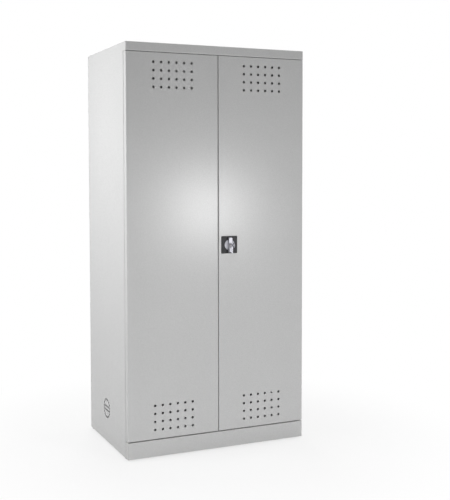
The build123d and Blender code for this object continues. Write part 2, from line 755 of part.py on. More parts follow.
# Locking rods with a rack at their inner end, the upper one left of the pinion
rack_half_pitch = (tooth_pitch - gear_backlash) / 4
rack_half_tip = rack_half_pitch - addendum * math.tan(math.radians(pressure_angle))
rack_half_root = rack_half_pitch + dedendum * math.tan(math.radians(pressure_angle))
for rod_name, up, tip_z in (
    ("upper_rod", 1, door_top_z - rod_rest_inset),
    ("lower_rod", -1, door_bottom_z + rod_rest_inset),
):
    tail_z = lock_height - up * (rack_teeth_behind * tooth_pitch + rack_end)
    root_x = lock_x - up * rack_root_x
    tip_x = lock_x - up * (pitch_radius - addendum)
    with BuildPart() as rod:
        with BuildSketch(Plane.XZ.offset(-rod_centre_y)):
            with Locations((lock_x - up * rod_offset_x, (tip_z + tail_z) / 2)):
                Rectangle(rod_width, abs(tip_z - tail_z))
            for tooth_number in range(-rack_teeth_behind, rack_teeth_ahead):
                tooth_z = lock_height + up * (tooth_number + 1 / 2) * tooth_pitch
                Polygon(
                    (root_x, tooth_z - rack_half_root),
                    (tip_x, tooth_z - rack_half_tip),
                    (tip_x, tooth_z + rack_half_tip),
                    (root_x, tooth_z + rack_half_root),
                    align=None,
                )
        extrude(amount=rod_thickness / 2, both=True)
        chamfer(rod.faces().sort_by(Axis.Z)[-1 if up > 0 else 0].edges(), rod_tip_chamfer)
    save(rod, rod_name)

# Pinion on the spindle, in mesh with both racks
base_radius = pitch_radius * math.cos(math.radians(pressure_angle))
root_radius = pitch_radius - dedendum
flank_radii = (base_radius, pitch_radius, pitch_radius + addendum)
pitch_half_angle = (tooth_pitch - gear_backlash) / 4 / pitch_radius


def involute_angle(radius):
    """How far an involute flank has turned, in radians, where it reaches a radius."""
    pressure = math.acos(min(1, base_radius / radius))
    return math.tan(pressure) - pressure


def flank(turn):
    """Three points of one tooth flank, from the base circle to the tip."""
    points = []
    for radius in flank_radii:
        angle = turn * (pitch_half_angle + involute_angle(pitch_radius) - involute_angle(radius))
        points.append((radius * math.cos(angle), radius * math.sin(angle)))
    return points


upper_flank = flank(1)
lower_flank = flank(-1)
with BuildSketch() as tooth:
    with BuildLine():
        ThreePointArc(*upper_flank)
        Line(upper_flank[-1], lower_flank[-1])
        ThreePointArc(*reversed(lower_flank))
        Polyline(lower_flank[0], (0, 0), upper_flank[0])
    make_face()

with BuildPart() as pinion:
    with BuildSketch(lock_plane(pinion_back_y)):
        Circle(root_radius)
        with PolarLocations(0, gear_teeth):
            add(tooth.sketch)
    extrude(amount=pinion_width)
    with BuildSketch(lock_plane(cover_back_y)):
        Circle(pinion_collar_radius)
    extrude(amount=cover_back_y - case_flange_back_y - seat_gap)
    with BuildSketch(lock_plane(cover_back_y)):
        Rectangle(spindle_size + 2 * spindle_fit_gap, spindle_size + 2 * spindle_fit_gap)
    extrude(amount=cover_back_y - case_flange_back_y, mode=Mode.SUBTRACT)
save(pinion, "pinion")

# Square spindle from the grip's hub through the pinion to the latch tongue
with BuildPart() as spindle:
    with BuildSketch(lock_plane(tongue_back_y)):
        Rectangle(spindle_size, spindle_size)
        Circle(spindle_screw_radius + running_gap, mode=Mode.SUBTRACT)
    extrude(amount=spindle_screw_length + seat_gap)
    with BuildSketch(lock_plane(tongue_back_y - spindle_screw_length - seat_gap)):
        Rectangle(spindle_size, spindle_size)
    extrude(amount=tongue_back_y - spindle_screw_length - seat_gap - spindle_front_y)
save(spindle, "spindle")

with BuildPart() as spindle_screw:
    with BuildSketch(lock_plane(tongue_back_y)):
        Circle(spindle_screw_head_radius)
    extrude(amount=-spindle_screw_head_height)
    with BuildSketch(lock_plane(tongue_back_y)):
        Circle(spindle_screw_radius)
    extrude(amount=spindle_screw_length)
save(spindle_screw, "spindle_screw")

# Latch tongue, hanging down at rest and reaching behind the left door when turned
tongue_reach = lock_x + seam / 2 + tongue_engagement
tongue_run = tongue_reach - tongue_width / 2
with BuildPart() as latch_tongue:
    with BuildSketch(lock_plane(tongue_back_y)):
        Circle(tongue_boss_radius)
        with Locations((0, -tongue_run / 2)):
            SlotCenterToCenter(tongue_run, tongue_width, rotation=90)
    extrude(amount=tongue_thickness)
    with BuildSketch(lock_plane(tongue_front_y)):
        Circle(tongue_boss_radius)
    extrude(amount=tongue_front_y - cover_back_y - seat_gap)
    with BuildSketch(lock_plane(tongue_back_y)):
        Rectangle(spindle_size + 2 * spindle_fit_gap, spindle_size + 2 * spindle_fit_gap)
    extrude(amount=tongue_back_y - cover_back_y, mode=Mode.SUBTRACT)
save(latch_tongue, "latch_tongue")

# Turning grip: a domed disc with a bar across it and a boss for the lock cylinder
knob_back_y = plate_face_y - seat_gap
dome_radius = (knob_radius**2 + knob_dome_height**2) / (2 * knob_dome_height)
dome_half_x = knob_radius / 2
dome_half_rise = math.sqrt(dome_radius**2 - dome_half_x**2) - dome_radius + knob_dome_height
lock_axis = Axis((lock_x, 0, lock_height), (0, 1, 0))
with BuildPart() as knob:
    with BuildSketch(lock_plane(knob_back_y - knob_edge_height)):
        RectangleRounded(grip_width, grip_length, grip_end_radius)
    extrude(amount=knob_back_y - knob_edge_height - grip_face_y)
    fillet(knob.faces().sort_by(Axis.Y)[0].edges(), grip_edge_radius)
    with BuildSketch(Plane(origin=(lock_x, knob_back_y, lock_height))):
        with BuildLine():
            Polyline(
                (0, -knob_edge_height - knob_dome_height),
                (0, 0),
                (knob_radius, 0),
                (knob_radius, -knob_edge_height),
            )
            ThreePointArc(
                (knob_radius, -knob_edge_height),
                (dome_half_x, -knob_edge_height - dome_half_rise),
                (0, -knob_edge_height - knob_dome_height),
            )
        make_face()
    revolve(axis=lock_axis)
    with BuildSketch(lock_plane(hub_back_y)):
        Circle(hub_radius)
    extrude(amount=hub_back_y - knob_back_y)
    with BuildSketch(lock_plane(knob_back_y)):
        Circle(boss_radius)
    extrude(amount=knob_back_y - boss_face_y)
    with BuildSketch(lock_plane(boss_face_y)):
        Circle(cylinder_radius + running_gap)
    extrude(amount=-(cylinder_length + seat_gap), mode=Mode.SUBTRACT)
    with BuildSketch(lock_plane(hub_back_y)):
        Rectangle(spindle_size + 2 * spindle_fit_gap, spindle_size + 2 * spindle_fit_gap)
    extrude(amount=spindle_socket_depth + spindle_fit_gap, mode=Mode.SUBTRACT)
save(knob, "knob")

# Lock cylinder in the boss, with the key in it
with BuildPart() as lock_cylinder:
    with BuildSketch(lock_plane(boss_face_y + cylinder_length)):
        Circle(cylinder_radius)
    extrude(amount=cylinder_length + cylinder_rise)
    with BuildSketch(lock_plane(cylinder_face_y)):
        Rectangle(keyway_width, keyway_height)
    extrude(amount=-(key_blade_length + seat_gap), mode=Mode.SUBTRACT)
save(lock_cylinder, "lock_cylinder")

key_bow_y = cylinder_face_y - key_bow_reach
with BuildPart() as key:
    with BuildSketch(lock_plane(cylinder_face_y)):
        Rectangle(key_thickness, key_blade_width)
    extrude(amount=-key_blade_length)
    with BuildSketch(lock_plane(cylinder_face_y)):
        Circle(key_shank_radius)
    extrude(amount=key_shank_length)
    with BuildSketch(Plane(origin=(lock_x, key_bow_y, lock_height), x_dir=(0, 1, 0), z_dir=(1, 0, 0))):
        Circle(key_bow_radius)
    extrude(amount=key_thickness / 2, both=True)
    with BuildSketch(Plane(origin=(lock_x, key_bow_y, lock_height), x_dir=(0, 1, 0), z_dir=(1, 0, 0))):
        Circle(key_bow_hole_radius)
    extrude(amount=key_shank_radius + overrun, both=True, mode=Mode.SUBTRACT)
save(key, "key")

# Spare key, hung by its bow on the shank of the key in the lock
spare_y = boss_face_y - spare_set_forward
spare_drop = key_bow_hole_radius - key_shank_radius - seat_gap
spare_tip_half = spare_tip_share * key_blade_width / 2
spare_shoulder_z = -spare_drop - (key_bow_radius + key_bow_hole_radius) / 2
spare_tip_z = -spare_drop - key_bow_radius - spare_blade_length
with BuildPart() as spare_key:
    with BuildSketch(lock_plane(spare_y)):
        with Locations((0, -spare_drop)):
            Circle(key_bow_radius)
        Polygon(
            (-key_blade_width / 2, spare_shoulder_z),
            (-key_blade_width / 2, spare_tip_z + spare_tip_half),
            (-spare_tip_half, spare_tip_z),
            (spare_tip_half, spare_tip_z),
            (key_blade_width / 2, spare_tip_z + spare_tip_half),
            (key_blade_width / 2, spare_shoulder_z),
            align=None,
        )
        with Locations((0, -spare_drop)):
            Circle(key_bow_hole_radius, mode=Mode.SUBTRACT)
    extrude(amount=key_thickness / 2, both=True)
save(spare_key, "spare_key")
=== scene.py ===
import json
import math

import bmesh
import bpy
from mathutils import Matrix, Vector


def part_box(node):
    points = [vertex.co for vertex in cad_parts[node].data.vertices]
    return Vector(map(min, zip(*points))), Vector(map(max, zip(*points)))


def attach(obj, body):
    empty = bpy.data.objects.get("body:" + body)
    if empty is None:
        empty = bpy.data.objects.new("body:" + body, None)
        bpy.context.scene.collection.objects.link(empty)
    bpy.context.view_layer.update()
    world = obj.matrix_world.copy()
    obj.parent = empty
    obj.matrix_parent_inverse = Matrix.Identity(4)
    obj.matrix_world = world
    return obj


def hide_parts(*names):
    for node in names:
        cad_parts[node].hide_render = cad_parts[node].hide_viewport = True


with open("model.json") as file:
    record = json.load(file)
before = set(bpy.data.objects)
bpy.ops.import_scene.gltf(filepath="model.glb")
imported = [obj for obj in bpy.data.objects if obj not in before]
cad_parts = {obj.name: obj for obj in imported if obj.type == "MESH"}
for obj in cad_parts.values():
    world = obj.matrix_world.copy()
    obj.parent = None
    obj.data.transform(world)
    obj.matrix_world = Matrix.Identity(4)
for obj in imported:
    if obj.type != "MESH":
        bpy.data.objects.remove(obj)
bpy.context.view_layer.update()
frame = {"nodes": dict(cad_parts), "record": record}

# Viewpoint: in front of the cabinet and to its left, at about two thirds of its height. Lengths in metres.
picture_width = 450
picture_height = 500
focal_pixels = 875.3
picture_axis_x = 198.9
picture_axis_y = 216.0
sensor_size = 36.0
viewer_place = (-1.763, -4.0867, 1.359)
viewer_yaw = 0.4103
viewer_pitch = 0.0519
viewer_roll = 0.0029

# Powder coat. All colours are linear, and a roughness has a smooth and a rough end.
paint_grey = (0.584, 0.586, 0.585)
paint_mottle_share = 0.045
paint_grain_size = 0.0013
paint_speckle_size = 0.006
paint_mottle_size = 0.35
paint_roughness = (0.25, 0.31)
speckle_share = 0.7
pebble_depth = 0.0004
pebble_strength = 0.22
dust_grey = (0.42, 0.41, 0.39)
dust_reach = 0.16
dust_patch_size = 0.02
dust_share = 0.12

# Metals
zinc_dark = (0.34, 0.35, 0.37)
zinc_light = (0.54, 0.56, 0.58)
zinc_lift = 0.12
zinc_roughness = (0.34, 0.5)
zinc_streak_width = 0.0012
zinc_streak_stretch = 20.0
zinc_streak_depth = 0.0001
zinc_streak_strength = 0.1
spangle_size = 0.014
steel_dark = (0.40, 0.41, 0.42)
steel_light = (0.48, 0.49, 0.50)
steel_roughness = (0.28, 0.36)
steel_streak_width = 0.0003
steel_streak_stretch = 30.0
nickel_dark = (0.285, 0.285, 0.31)
nickel_light = (0.42, 0.42, 0.455)
nickel_roughness = (0.42, 0.5)
nickel_streak_width = 0.0005
nickel_streak_stretch = 5.0
streak_depth = 0.00005
streak_strength = 0.12
brass_dark = (0.52, 0.40, 0.20)
brass_light = (0.72, 0.57, 0.31)
brass_roughness = (0.24, 0.36)
brass_ring_scale = 700.0
brass_ring_distortion = 0.6
brass_ring_depth = 0.00006
brass_ring_strength = 0.2

# Mouldings
black_moulding = (0.014, 0.014, 0.016)
black_moulding_worn = (0.022, 0.022, 0.025)
nylon_white = (0.74, 0.73, 0.68)
nylon_yellowed = (0.68, 0.66, 0.57)
rubber_black = (0.020, 0.020, 0.020)
rubber_bloom = (0.045, 0.045, 0.044)
moulding_mottle_size = 0.02
moulding_grain_strength = 0.3

# Noise: the range that most of it lies in, and its fineness
noise_low = 0.3
noise_high = 0.7
grain_detail = 2.0
broad_detail = 3.0
patch_detail = 4.0

# Fasteners and weld marks
screw_head_radius = 0.0035
screw_head_height = 0.0022
screw_head_sides = 24
screw_crown_share = 0.72
screw_shank_radius = 0.002
screw_shank_sides = 16
drive_length = 0.0042
drive_width = 0.0009
drive_depth = 0.0011
place_digits = 5
weld_radius = 0.003
weld_height = 0.00025
weld_sides = 14
weld_spacing = 0.11
weld_end_gap = 0.03
weld_crown_share = 0.6
weld_edge_inset = 0.0075
sheet_thickness = 0.001

# Levelling feet
foot_pad_radius = 0.013
foot_pad_height = 0.006
foot_pad_sides = 32
foot_hex_radius = 0.0095
foot_hex_height = 0.005
foot_hex_sides = 6
foot_edge = 0.0015
foot_hex_edge = 0.0007
stud_core_radius = 0.0043
stud_core_sides = 24
stud_crest = 0.0007
stud_pitch = 0.0015
thread_steps = 20
thread_sides = 4

# Keys
key_thickness = 0.0022
key_edge = 0.0003
key_edge_steps = 2
key_bow_radius = 0.0115
key_bow_hole_radius = 0.0045
key_bow_steps = 40
key_shank_radius = 0.0025
key_shank_sides = 24
key_collar_radius = 0.0036
key_collar_length = 0.0022
key_blade_width = 0.008
key_cut_depths = (0.0014, 0.0024, 0.0009, 0.0019, 0.0012)
key_cut_flat_share = 0.35
merge_distance = 1e-6

# Room
floor_size = 14.0
floor_pale = (0.86, 0.86, 0.86)
floor_roughness = 0.9
floor_fade_start = 0.6
floor_fade_end = 1.5
floor_glow_share = 0.72
room_grey = (0.9, 0.9, 0.9)
room_strength = 0.12
white = (1.0, 1.0, 1.0)
white_strength = 1.0


def node(tree, kind, inputs=None, **settings):
    """Adds a node with its settings, and sets or links the inputs that are given."""
    made = tree.nodes.new(kind)
    for name, value in settings.items():
        setattr(made, name, value)
    for key, value in (inputs or {}).items():
        if isinstance(value, bpy.types.NodeSocket):
            tree.links.new(value, made.inputs[key])
        else:
            made.inputs[key].default_value = value
    return made


def sums(tree, operation, *values):
    """The result of one sum of numbers or number sockets."""
    return node(tree, "ShaderNodeMath", dict(enumerate(values)), operation=operation).outputs[0]


def labelled(values):
    """Keyword values under the names that sockets have, with spaces."""
    return {key.replace("_", " "): value for key, value in values.items()}


def rgba(colour):
    """A colour at full opacity."""
    return (*colour, 1.0)


def corners_of(name):
    """A solid's lowest and highest corner."""
    return (Vector(corner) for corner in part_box(name))


# Shared surface effects


def effect_group(name, inputs, outputs):
    """An empty shader group with number inputs and outputs."""
    tree = bpy.data.node_groups.new(name, "ShaderNodeTree")
    for label, value in inputs.items():
        socket = tree.interface.new_socket(label, in_out="INPUT", socket_type="NodeSocketFloat")
        socket.default_value = value
    for label in outputs:
        tree.interface.new_socket(label, in_out="OUTPUT", socket_type="NodeSocketFloat")
    return tree, node(tree, "NodeGroupInput").outputs, node(tree, "NodeGroupOutput").inputs


def noise_of_size(tree, size, detail, vector):
    """Noise whose blotches are about as large as a size in metres."""
    wanted = {"Vector": vector, "Scale": sums(tree, "DIVIDE", 1.0, size), "Detail": detail}
    return node(tree, "ShaderNodeTexNoise", wanted).outputs["Fac"]


def make_grain():
    """Fine grain, speckle and broad mottling of a coated or moulded surface."""
    sizes = {
        "Grain Size": paint_grain_size,
        "Speckle Size": paint_speckle_size,
        "Mottle Size": paint_mottle_size,
    }
    tree, given, wanted = effect_group("coat_grain", sizes, ("Grain", "Speckle", "Mottle"))
    place = node(tree, "ShaderNodeTexCoord").outputs["Object"]
    tree.links.new(noise_of_size(tree, given["Grain Size"], grain_detail, place), wanted["Grain"])
    tree.links.new(noise_of_size(tree, given["Speckle Size"], grain_detail, place), wanted["Speckle"])
    tree.links.new(noise_of_size(tree, given["Mottle Size"], broad_detail, place), wanted["Mottle"])
    return tree


def make_streaks():
    """Long fine streaks from drawing, rolling or brushing, along the height."""
    sizes = {"Streak Width": steel_streak_width, "Stretch": steel_streak_stretch}
    tree, given, wanted = effect_group("drawn_streaks", sizes, ("Streak",))
    place = node(tree, "ShaderNodeTexCoord").outputs["Object"]
    along = sums(tree, "DIVIDE", 1.0, given["Stretch"])
    squeeze = node(tree, "ShaderNodeCombineXYZ", {"X": 1.0, "Y": 1.0, "Z": along}).outputs[0]
    drawn = node(tree, "ShaderNodeVectorMath", {0: place, 1: squeeze}, operation="MULTIPLY").outputs[0]
    tree.links.new(noise_of_size(tree, given["Streak Width"], broad_detail, drawn), wanted["Streak"])
    return tree


def make_dust():
    """Dust and scuffs that thin out with the height above the floor."""
    sizes = {"Reach": dust_reach, "Patch Size": dust_patch_size}
    tree, given, wanted = effect_group("low_dust", sizes, ("Mask",))
    place = node(tree, "ShaderNodeTexCoord").outputs["Object"]
    rise = node(tree, "ShaderNodeSeparateXYZ", {0: place}).outputs["Z"]
    ends = {"Value": rise, "From Max": given["Reach"], "To Min": 1.0, "To Max": 0.0}
    low = node(tree, "ShaderNodeMapRange", ends).outputs[0]
    patches = noise_of_size(tree, given["Patch Size"], patch_detail, place)
    tree.links.new(sums(tree, "MULTIPLY", low, patches), wanted["Mask"])
    return tree


coat_grain = make_grain()
drawn_streaks = make_streaks()
low_dust = make_dust()


def effect(tree, group, **values):
    """Places a shared effect in a material and returns its outputs."""
    return node(tree, "ShaderNodeGroup", labelled(values), node_tree=group).outputs


def new_finish(name, **constants):
    """A material with a Principled shader, and that shader's inputs."""
    made = bpy.data.materials.new(name)
    made.use_nodes = True
    tree = made.node_tree
    tree.nodes.clear()
    shader = node(tree, "ShaderNodeBsdfPrincipled", labelled(constants))
    node(tree, "ShaderNodeOutputMaterial", {"Surface": shader.outputs[0]})
    return made, tree, shader.inputs


def tint(tree, factor, low, high):
    """A colour between two others, by a mask."""
    return node(tree, "ShaderNodeMix", {0: factor, 6: low, 7: high}, data_type="RGBA").outputs[2]


def blend(tree, factor, low, high):
    """A number between two others, by a share."""
    return node(tree, "ShaderNodeMix", {0: factor, 2: low, 3: high}).outputs[0]


def spread(tree, value, low, high):
    """A value from a noise's middle range, spread between two limits."""
    ends = {"Value": value, "From Min": noise_low, "From Max": noise_high, "To Min": low, "To Max": high}
    return node(tree, "ShaderNodeMapRange", ends).outputs[0]


def relief(tree, height, depth, strength):
    """A normal from a height that stands out by a depth in metres."""
    bump = {"Strength": strength, "Distance": depth, "Height": height}
    return node(tree, "ShaderNodeBump", bump).outputs[0]


def powder_coat():
    """Light grey powder coat: satin, finely pebbled, a little dusty low down."""
    made, tree, wanted = new_finish("grey_powder_coat")
    grain = effect(tree, coat_grain, Grain_Size=paint_grain_size, Mottle_Size=paint_mottle_size)
    dust = effect(tree, low_dust, Reach=dust_reach, Patch_Size=dust_patch_size)
    low, high = (rgba([c * (1 + sign * paint_mottle_share) for c in paint_grey]) for sign in (-1, 1))
    blotch = blend(tree, speckle_share, grain["Mottle"], grain["Speckle"])
    colour = tint(tree, spread(tree, blotch, 0.0, 1.0), low, high)
    dusty = sums(tree, "MULTIPLY", dust["Mask"], dust_share)
    tree.links.new(tint(tree, dusty, colour, rgba(dust_grey)), wanted["Base Color"])
    tree.links.new(spread(tree, grain["Grain"], *paint_roughness), wanted["Roughness"])
    pebbles = blend(tree, speckle_share, grain["Grain"], grain["Speckle"])
    tree.links.new(relief(tree, pebbles, pebble_depth, pebble_strength), wanted["Normal"])
    return made


def galvanised_sheet():
    """Zinc-coated sheet with its crystal spangle and rolling streaks."""
    made, tree, wanted = new_finish("galvanised_sheet", Metallic=1.0)
    place = node(tree, "ShaderNodeTexCoord").outputs["Object"]
    spangle = node(tree, "ShaderNodeTexVoronoi", {"Vector": place, "Scale": 1 / spangle_size})
    crystal = node(tree, "ShaderNodeSeparateColor", {0: spangle.outputs["Color"]}).outputs[0]
    streaks = effect(tree, drawn_streaks, Streak_Width=zinc_streak_width, Stretch=zinc_streak_stretch)
    streak = streaks["Streak"]
    mixed = sums(tree, "MULTIPLY_ADD", crystal, streak, zinc_lift)
    tree.links.new(tint(tree, mixed, rgba(zinc_dark), rgba(zinc_light)), wanted["Base Color"])
    smooth, rough = zinc_roughness
    polish = node(tree, "ShaderNodeMapRange", {"Value": crystal, "To Min": smooth, "To Max": rough})
    tree.links.new(polish.outputs[0], wanted["Roughness"])
    tree.links.new(relief(tree, streak, zinc_streak_depth, zinc_streak_strength), wanted["Normal"])
    return made


def streaked_metal(name, dark, light, roughness, width, stretch):
    """A bare or plated metal with fine streaks."""
    made, tree, wanted = new_finish(name, Metallic=1.0)
    streak = effect(tree, drawn_streaks, Streak_Width=width, Stretch=stretch)["Streak"]
    shade = spread(tree, streak, 0.0, 1.0)
    tree.links.new(tint(tree, shade, rgba(dark), rgba(light)), wanted["Base Color"])
    tree.links.new(spread(tree, streak, *roughness), wanted["Roughness"])
    tree.links.new(relief(tree, streak, streak_depth, streak_strength), wanted["Normal"])
    return made


def turned_brass():
    """Brass with the rings that turning leaves around the lock's axis."""
    made, tree, wanted = new_finish("brass", Metallic=1.0)
    low, high = corners_of("lock_cylinder")
    to_axis = tuple(-(low + high) / 2)
    place = node(tree, "ShaderNodeTexCoord").outputs["Object"]
    centred = node(tree, "ShaderNodeMapping", {"Vector": place, "Location": to_axis}).outputs[0]
    pattern = {"Vector": centred, "Scale": brass_ring_scale, "Distortion": brass_ring_distortion}
    waves = node(tree, "ShaderNodeTexWave", pattern, wave_type="RINGS", rings_direction="Y")
    rings = waves.outputs["Fac"]
    tree.links.new(tint(tree, rings, rgba(brass_dark), rgba(brass_light)), wanted["Base Color"])
    tree.links.new(spread(tree, rings, *brass_roughness), wanted["Roughness"])
    tree.links.new(relief(tree, rings, brass_ring_depth, brass_ring_strength), wanted["Normal"])
    return made


def moulded(name, fresh, aged, grain_size, depth, roughness, shine):
    """A moulded plastic or rubber with a fine grain and faint blotches."""
    made, tree, wanted = new_finish(name, Specular_IOR_Level=shine)
    grain = effect(tree, coat_grain, Grain_Size=grain_size, Mottle_Size=moulding_mottle_size)
    blotch = spread(tree, grain["Mottle"], 0.0, 1.0)
    tree.links.new(tint(tree, blotch, rgba(fresh), rgba(aged)), wanted["Base Color"])
    tree.links.new(spread(tree, grain["Grain"], *roughness), wanted["Roughness"])
    tree.links.new(relief(tree, grain["Grain"], depth, moulding_grain_strength), wanted["Normal"])
    return made


finishes = {
    "grey_powder_coat": powder_coat(),
    "galvanised_sheet": galvanised_sheet(),
    "bright_steel": streaked_metal(
        "bright_steel", steel_dark, steel_light,
        roughness=steel_roughness, width=steel_streak_width, stretch=steel_streak_stretch),
    "satin_nickel": streaked_metal(
        "satin_nickel", nickel_dark, nickel_light,
        roughness=nickel_roughness, width=nickel_streak_width, stretch=nickel_streak_stretch),
    "brass": turned_brass(),
    "black_plastic": moulded(
        "black_plastic", black_moulding, black_moulding_worn,
        grain_size=0.0006, depth=0.0001, roughness=(0.42, 0.54), shine=0.3),
    "white_nylon": moulded(
        "white_nylon", nylon_white, nylon_yellowed,
        grain_size=0.0008, depth=0.00006, roughness=(0.38, 0.48), shine=0.5),
    "black_rubber": moulded(
        "black_rubber", rubber_black, rubber_bloom,
        grain_size=0.0007, depth=0.00012, roughness=(0.66, 0.82), shine=0.25),
}
for subpart in frame["record"]["subparts"]:
    for place in frame["nodes"][subpart["node"]].material_slots:
        place.material = finishes[subpart["material_slot"]]

# Pieces that repeat a small shape


def shape_tree(name, numbers):
    """A geometry node tree with named number inputs and a material input, and its ends."""
    tree = bpy.data.node_groups.new(name, "GeometryNodeTree")
    tree.interface.new_socket("Geometry", in_out="INPUT", socket_type="NodeSocketGeometry")
    for label in numbers:
        tree.interface.new_socket(label, in_out="INPUT", socket_type="NodeSocketFloat")
    tree.interface.new_socket("Finish", in_out="INPUT", socket_type="NodeSocketMaterial")
    tree.interface.new_socket("Geometry", in_out="OUTPUT", socket_type="NodeSocketGeometry")
    return tree, node(tree, "NodeGroupInput").outputs, node(tree, "NodeGroupOutput").inputs


def joined(tree, *parts):
    """Several geometries as one."""
    whole = node(tree, "GeometryNodeJoinGeometry")
    for part in parts:
        tree.links.new(part, whole.inputs[0])
    return whole.outputs[0]


def close_tree(tree, given, wanted, geometry):
    """Ends a tree with real geometry in the given finish."""
    real = node(tree, "GeometryNodeRealizeInstances", {0: geometry})
    done = node(tree, "GeometryNodeSetMaterial", {"Geometry": real.outputs[0], "Material": given["Finish"]})
    tree.links.new(done.outputs[0], wanted["Geometry"])


def grow(name, tree, points, edges, finish, **sizes):
    """A plain mesh object that a tree makes from points and edges."""
    seed = bpy.data.meshes.new(name)
    seed.from_pydata(points, edges, [])
    grown = bpy.data.objects.new(name, seed)
    bpy.context.scene.collection.objects.link(grown)
    modifier = grown.modifiers.new(name, "NODES")
    modifier.node_group = tree
    values = labelled(sizes) | {"Finish": finishes[finish]}
    for item in tree.interface.items_tree:
        if item.in_out == "INPUT" and item.name in values:
            modifier[item.identifier] = values[item.name]
    solid = bpy.data.meshes.new_from_object(grown.evaluated_get(bpy.context.evaluated_depsgraph_get()))
    grown.modifiers.remove(modifier)
    grown.data = solid
    bpy.data.meshes.remove(seed)
    return grown


def moved_up(tree, geometry, rise):
    """Geometry lifted along its own axis."""
    lift = node(tree, "ShaderNodeCombineXYZ", {"Z": rise}).outputs[0]
    return node(tree, "GeometryNodeTransform", {"Geometry": geometry, "Translation": lift}).outputs[0]


inwards = (-math.pi / 2, 0.0, 0.0)  # turns a shape's own axis to point into the cabinet


def make_screw_tree():
    """Pan-head screws with a cross recess, one on each point."""
    numbers = (
        "Head Radius", "Head Height", "Crown Radius", "Shank Radius", "Shank Length",
        "Drive Length", "Drive Width", "Drive Depth",
    )
    tree, given, wanted = shape_tree("pan_head_screws", numbers)
    head = node(tree, "GeometryNodeMeshCone", {
        "Vertices": screw_head_sides, "Radius Top": given["Crown Radius"],
        "Radius Bottom": given["Head Radius"], "Depth": given["Head Height"]})
    twice_deep = sums(tree, "MULTIPLY", given["Drive Depth"], 2.0)
    arms = []
    for along, across in (("Drive Length", "Drive Width"), ("Drive Width", "Drive Length")):
        size = node(tree, "ShaderNodeCombineXYZ", {"X": given[along], "Y": given[across], "Z": twice_deep})
        arm = node(tree, "GeometryNodeMeshCube", {"Size": size.outputs[0]})
        arms.append(moved_up(tree, arm.outputs[0], given["Head Height"]))
    cut = node(tree, "GeometryNodeMeshBoolean", {"Mesh 1": head.outputs[0]}, operation="DIFFERENCE")
    for arm in arms:
        tree.links.new(arm, cut.inputs["Mesh 2"])
    shank = node(tree, "GeometryNodeMeshCylinder", {
        "Vertices": screw_shank_sides, "Radius": given["Shank Radius"], "Depth": given["Shank Length"]})
    lowered = moved_up(tree, shank.outputs[0], sums(tree, "MULTIPLY", given["Shank Length"], -0.5))
    screw = joined(tree, cut.outputs[0], lowered)
    placed = node(tree, "GeometryNodeInstanceOnPoints", {
        "Points": given["Geometry"], "Instance": screw, "Rotation": inwards})
    close_tree(tree, given, wanted, placed.outputs[0])
    return tree


def make_weld_tree():
    """Rows of flat spot-weld marks along edges."""
    tree, given, wanted = shape_tree("weld_rows", ("Spacing", "Radius", "Height", "Crown Radius"))
    row = node(tree, "GeometryNodeMeshToCurve", {"Mesh": given["Geometry"]})
    steps = {"Curve": row.outputs[0], "Length": given["Spacing"]}
    points = node(tree, "GeometryNodeCurveToPoints", steps, mode="LENGTH")
    mark = node(tree, "GeometryNodeMeshCone", {
        "Vertices": weld_sides, "Radius Top": given["Crown Radius"],
        "Radius Bottom": given["Radius"], "Depth": given["Height"]})
    placed = node(tree, "GeometryNodeInstanceOnPoints", {
        "Points": points.outputs["Points"], "Instance": mark.outputs[0], "Rotation": inwards})
    close_tree(tree, given, wanted, placed.outputs[0])
    return tree


def make_thread_tree():
    """A threaded stud that stands on each point."""
    tree, given, wanted = shape_tree("threaded_stud", ("Core Radius", "Crest", "Pitch", "Length"))
    turns = sums(tree, "DIVIDE", given["Length"], given["Pitch"])
    helix = node(tree, "GeometryNodeCurveSpiral", {
        "Resolution": thread_steps, "Rotations": turns, "Start Radius": given["Core Radius"],
        "End Radius": given["Core Radius"], "Height": given["Length"]})
    profile = node(tree, "GeometryNodeCurvePrimitiveCircle", {
        "Resolution": thread_sides, "Radius": given["Crest"]})
    ridge = node(tree, "GeometryNodeCurveToMesh", {
        "Curve": helix.outputs[0], "Profile Curve": profile.outputs[0], "Fill Caps": True})
    core = node(tree, "GeometryNodeMeshCylinder", {
        "Vertices": stud_core_sides, "Radius": given["Core Radius"], "Depth": given["Length"]})
    raised = moved_up(tree, core.outputs[0], sums(tree, "MULTIPLY", given["Length"], 0.5))
    stud = joined(tree, ridge.outputs[0], raised)
    placed = node(tree, "GeometryNodeInstanceOnPoints", {"Points": given["Geometry"], "Instance": stud})
    close_tree(tree, given, wanted, placed.outputs[0])
    return tree


screw_tree = make_screw_tree()
weld_tree = make_weld_tree()
thread_tree = make_thread_tree()

# Screws of the lock case and of its cover
for screws in ("lock_screws", "cover_screws"):
    low, high = corners_of(screws)
    seat_y = high.y - screw_head_height
    ends = (low.x + screw_head_radius, high.x - screw_head_radius)
    columns = sorted({round(x, place_digits) for x in ends})
    rows = (low.z + screw_head_radius, high.z - screw_head_radius)
    middles = [(x, seat_y, z) for x in columns for z in rows]
    made = grow(
        f"{screws}_cross_recess", screw_tree, middles, [], "bright_steel",
        Head_Radius=screw_head_radius, Head_Height=screw_head_height,
        Crown_Radius=screw_head_radius * screw_crown_share,
        Shank_Radius=screw_shank_radius, Shank_Length=seat_y - low.y,
        Drive_Length=drive_length, Drive_Width=drive_width, Drive_Depth=drive_depth,
    )
    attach(made, "right_door")
    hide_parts(screws)

